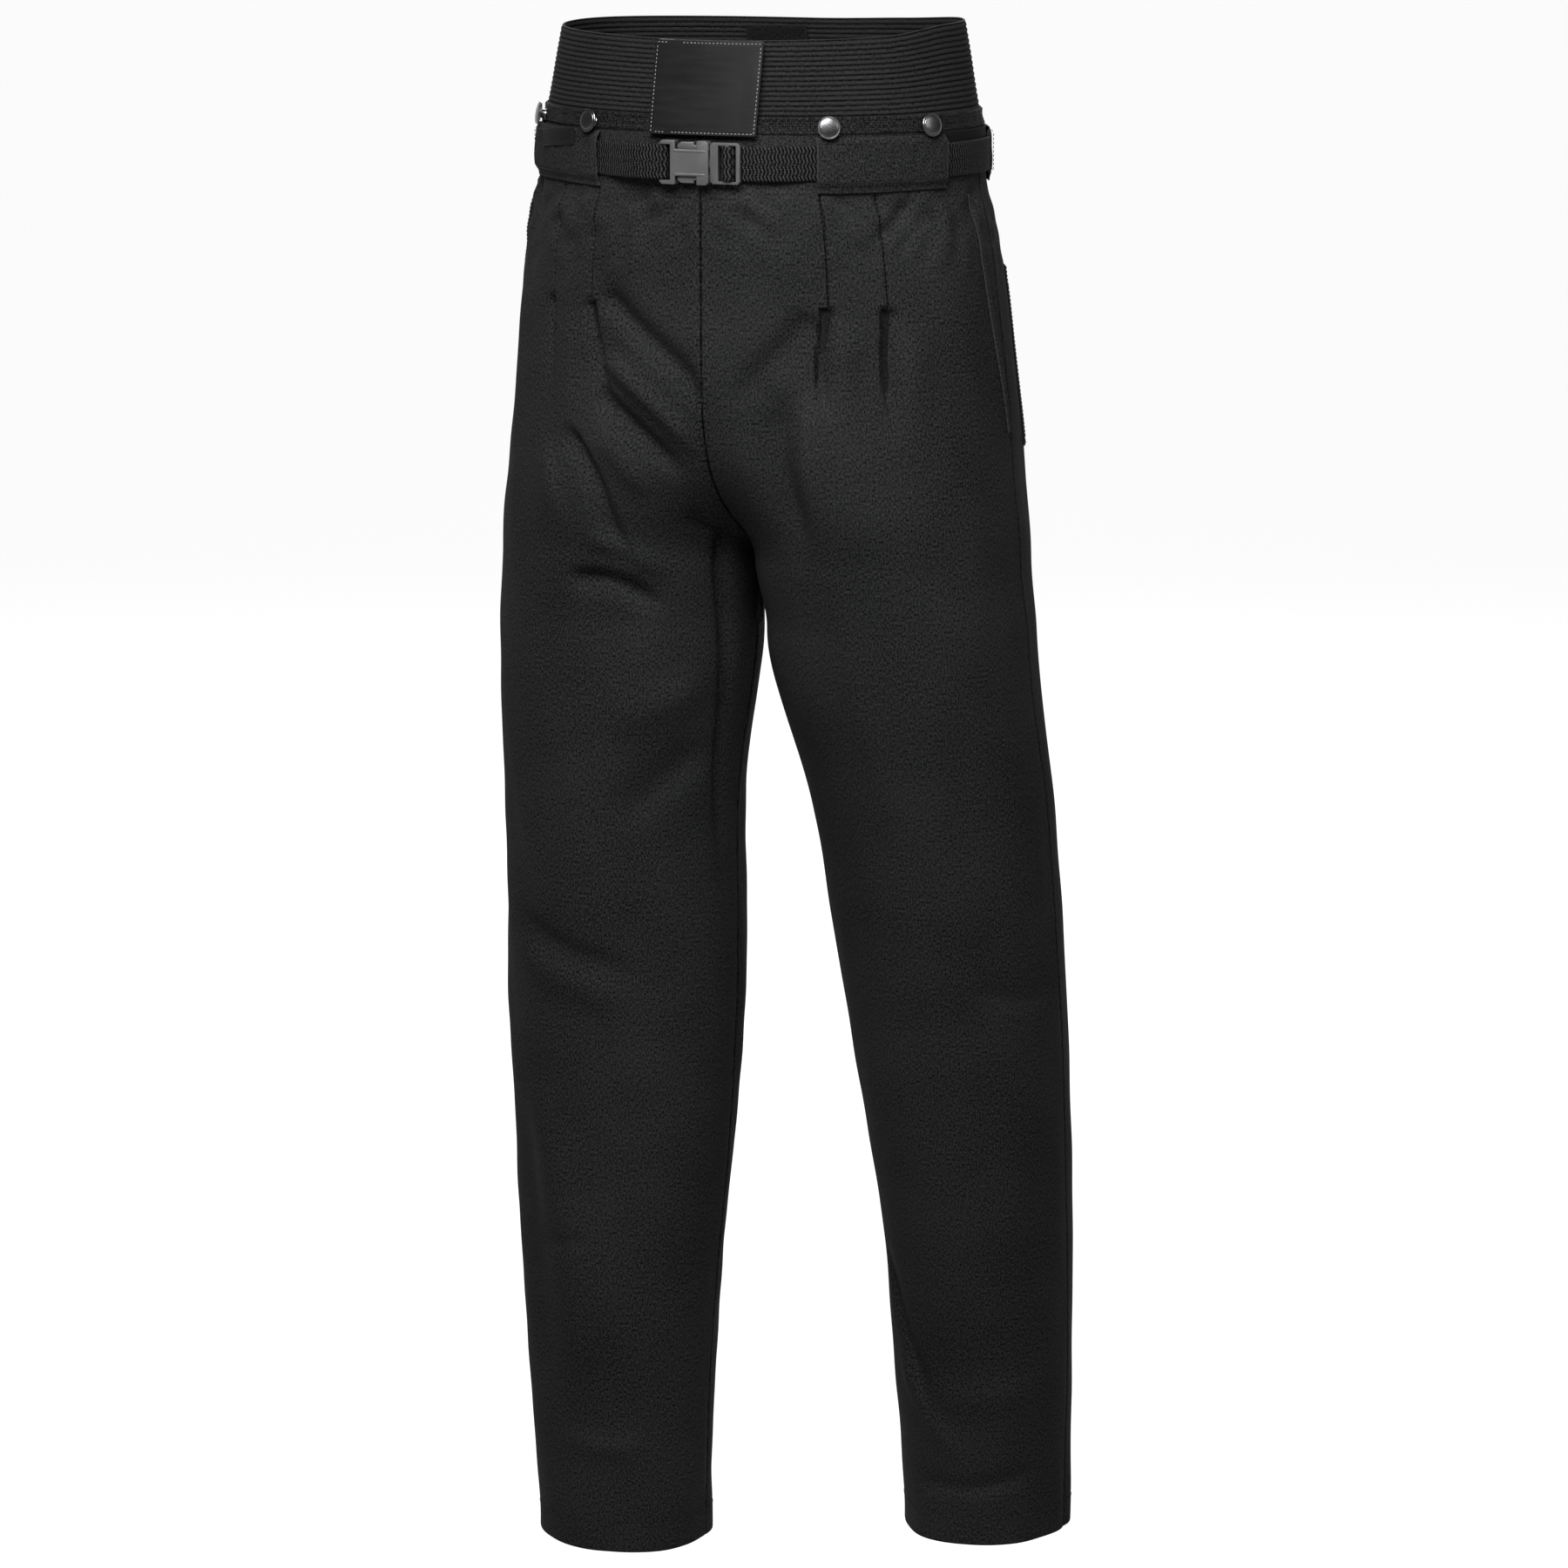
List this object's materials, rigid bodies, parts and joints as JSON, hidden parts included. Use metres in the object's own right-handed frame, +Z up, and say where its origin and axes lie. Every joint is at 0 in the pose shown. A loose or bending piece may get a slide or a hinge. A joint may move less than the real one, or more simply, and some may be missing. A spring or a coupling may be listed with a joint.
{
  "type": "ice hockey officials' trousers",
  "caption": "Long straight-leg black officials' trousers in a worn shape, with a high ribbed elastic waistband, a webbing belt with a side-release buckle, a closure tab and brace buttons.",
  "frame": {"origin": "middle of the footprint box, on the surface that the hems stand on", "axes": "+Z up, -Y the wearer's front, +X the wearer's left"},
  "size_m": [0.433, 0.3188, 1.187],
  "materials": {
    "leg_cloth": "matte twill-faced polyester",
    "lining": "plain-weave pocketing",
    "rib_elastic": "horizontally ribbed knitted elastic",
    "webbing": "herringbone nylon webbing",
    "zip_tape": "knitted tape with coil",
    "buckle_plastic": "moulded acetal",
    "tab_leather": "smooth semi-gloss faux leather",
    "hook_loop": "hook and loop tape",
    "button_steel": "satin gunmetal",
    "zip_metal": "black enamel",
    "label_cloth": "woven damask"
  },
  "bodies": {
    "trousers": {"front_panel_left": "leg_cloth", "front_panel_right": "leg_cloth", "back_panel_left": "leg_cloth", "back_panel_right": "leg_cloth", "hem_left": "leg_cloth", "hem_right": "leg_cloth", "pocket_welt_left": "leg_cloth", "pocket_welt_right": "leg_cloth", "back_pocket_left": "leg_cloth", "back_pocket_right": "leg_cloth", "belt_tunnel_left": "leg_cloth", "belt_tunnel_right": "leg_cloth", "belt_tunnel_back": "leg_cloth", "pocket_bag_left": "lining", "pocket_bag_right": "lining", "fly_shield": "lining", "ribbed_band": "rib_elastic", "belt_webbing": "webbing", "waist_tape": "webbing", "zip_side_left": "zip_tape", "zip_side_right": "zip_tape", "buckle_socket": "buckle_plastic", "tab_root": "tab_leather", "band_loop_tape": "hook_loop", "button_tack_left_1": "button_steel", "button_tack_left_2": "button_steel", "button_tack_left_3": "button_steel", "button_tack_right_1": "button_steel", "button_tack_right_2": "button_steel", "button_tack_right_3": "button_steel", "zip_stop": "zip_metal", "inner_label": "label_cloth", "side_label": "label_cloth"},
    "closure_tab": {"tab_flap": "tab_leather", "tab_hook_tape": "hook_loop"},
    "plug": {"buckle_plug": "buckle_plastic", "plug_strap": "webbing"},
    "upper_prong": {"prong_upper": "buckle_plastic"},
    "lower_prong": {"prong_lower": "buckle_plastic"},
    "slider": {"zip_slider": "zip_metal", "zip_pull": "zip_metal"},
    "cap_left_1": {"button_cap_left_1": "button_steel"},
    "cap_right_1": {"button_cap_right_1": "button_steel"},
    "cap_left_2": {"button_cap_left_2": "button_steel"},
    "cap_right_2": {"button_cap_right_2": "button_steel"},
    "cap_left_3": {"button_cap_left_3": "button_steel"},
    "cap_right_3": {"button_cap_right_3": "button_steel"}
  },
  "joints": [
    {"name": "tab_hinge", "type": "hinge", "parent": "trousers", "child": "closure_tab", "pos_m": [-0.03148, -0.15416, 1.117], "axis": [-0.0287, -0.172, -0.9847], "range_deg": [0, 120]},
    {"name": "plug_slide", "type": "slide", "parent": "trousers", "child": "plug", "axis": [1, 0, 0], "range_m": [0, 0.027], "deforming": ["plug_strap", "prong_upper", "prong_lower"]},
    {"name": "upper_prong_squeeze", "type": "hinge", "parent": "plug", "child": "upper_prong", "pos_m": [0.00273, -0.15488, 1.1095], "axis": [0, -1, 0], "range_deg": [0, 8], "stiffness_Nm_per_rad": 0.4},
    {"name": "lower_prong_squeeze", "type": "hinge", "parent": "plug", "child": "lower_prong", "pos_m": [0.00273, -0.15488, 1.0875], "axis": [0, 1, 0], "range_deg": [0, 8], "stiffness_Nm_per_rad": 0.4},
    {"name": "zip_slide", "type": "slide", "parent": "trousers", "child": "slider", "axis": [0, 0, -1], "range_m": [0, 0.128]},
    {"name": "cap_left_1_turn", "type": "hinge", "parent": "trousers", "child": "cap_left_1", "pos_m": [0.0842, -0.12825, 1.1235], "axis": [0.4305, -0.8846, 0.1792], "continuous": true},
    {"name": "cap_right_1_turn", "type": "hinge", "parent": "trousers", "child": "cap_right_1", "pos_m": [-0.09834, -0.12825, 1.1235], "axis": [-0.4229, -0.8883, 0.1789], "continuous": true},
    {"name": "cap_left_2_turn", "type": "hinge", "parent": "trousers", "child": "cap_left_2", "pos_m": [0.14224, -0.08047, 1.1235], "axis": [0.8118, -0.5512, 0.1931], "continuous": true},
    {"name": "cap_right_2_turn", "type": "hinge", "parent": "trousers", "child": "cap_right_2", "pos_m": [-0.15638, -0.08047, 1.1235], "axis": [-0.8054, -0.5605, 0.1927], "continuous": true},
    {"name": "cap_left_3_turn", "type": "hinge", "parent": "trousers", "child": "cap_left_3", "pos_m": [0.05024, 0.08806, 1.1235], "axis": [0.2445, 0.958, 0.1496], "continuous": true},
    {"name": "cap_right_3_turn", "type": "hinge", "parent": "trousers", "child": "cap_right_3", "pos_m": [-0.06438, 0.08806, 1.1235], "axis": [-0.2517, 0.9561, 0.1499], "continuous": true}
  ]
}
